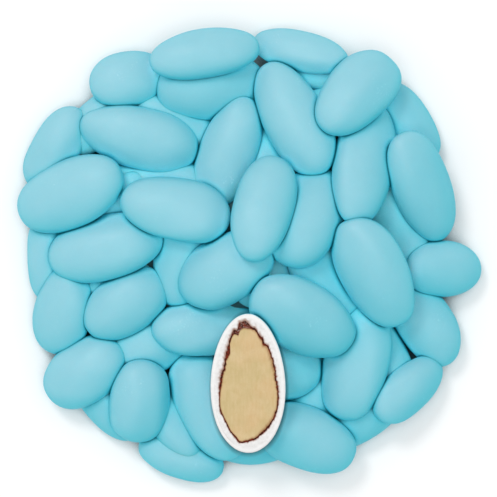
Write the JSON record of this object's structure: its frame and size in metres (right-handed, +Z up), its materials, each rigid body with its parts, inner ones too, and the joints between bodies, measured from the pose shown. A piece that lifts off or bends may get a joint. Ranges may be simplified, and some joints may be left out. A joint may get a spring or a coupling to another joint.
{
  "type": "heap of sugared almonds with one cut in half",
  "caption": "Low heap of turquoise sugared almonds on a surface, with one more cut lengthwise lying on top, its white coat, brown skin and kernel facing up.",
  "frame": {"origin": "middle of the heap's flat underside, on the surface that it lies on", "axes": "+Z up out of the surface, +Y towards the far side of the heap, so that the cut half lies on the near side with its narrow end towards +Y, +X to the right"},
  "size_m": [0.136, 0.1329, 0.0308],
  "materials": {
    "sugar_coating": "satin turquoise sugar coating",
    "sugar_shell_cut": "matt white sugar where it is cut, satin turquoise outside",
    "almond_skin": "matt brown almond skin",
    "almond_kernel": "matt cream kernel"
  },
  "bodies": {
    "root": {"almond_heap": "sugar_coating", "half_coat": "sugar_shell_cut", "half_skin": "almond_skin", "half_kernel": "almond_kernel"}
  },
  "joints": []
}
